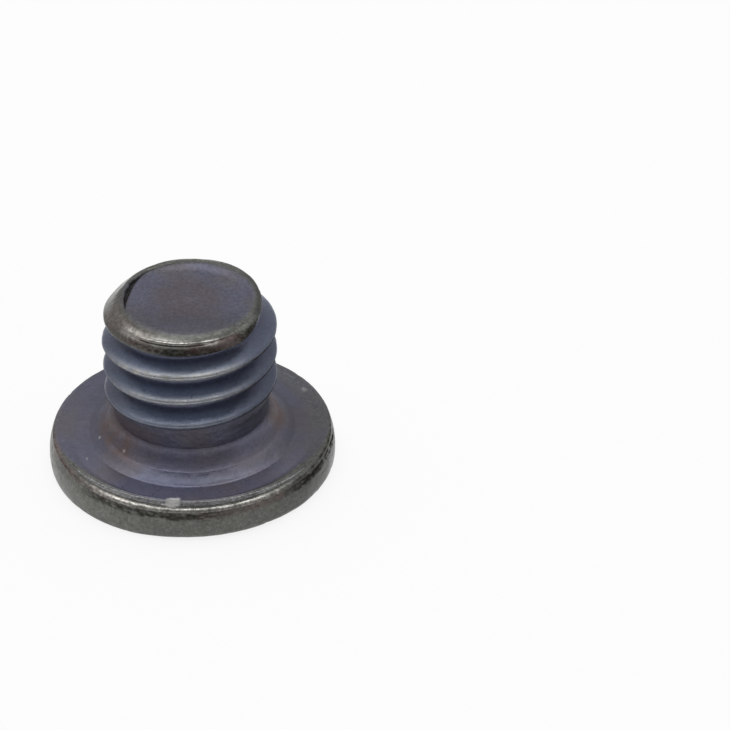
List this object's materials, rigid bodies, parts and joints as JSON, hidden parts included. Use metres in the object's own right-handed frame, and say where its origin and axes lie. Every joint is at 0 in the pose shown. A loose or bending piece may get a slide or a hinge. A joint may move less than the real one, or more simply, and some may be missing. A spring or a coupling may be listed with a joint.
{
  "type": "machine screw",
  "caption": "Short machine screw with a very low, wide round head, a flared neck and a coarse metric thread with a chamfered flat tip.",
  "frame": {"origin": "centre of the head's flat outer face, on which the screw stands", "axes": "+Z along the thread towards its tip; -Y is the side where the first full crest stands 4.04 mm above the bearing face"},
  "size_m": [0.0102, 0.0102, 0.0066],
  "materials": {
    "steel": "dark heat-treated oxide, worn bright on the rim, crests and tip chamfer"
  },
  "bodies": {
    "root": {"screw": "steel"}
  },
  "joints": []
}
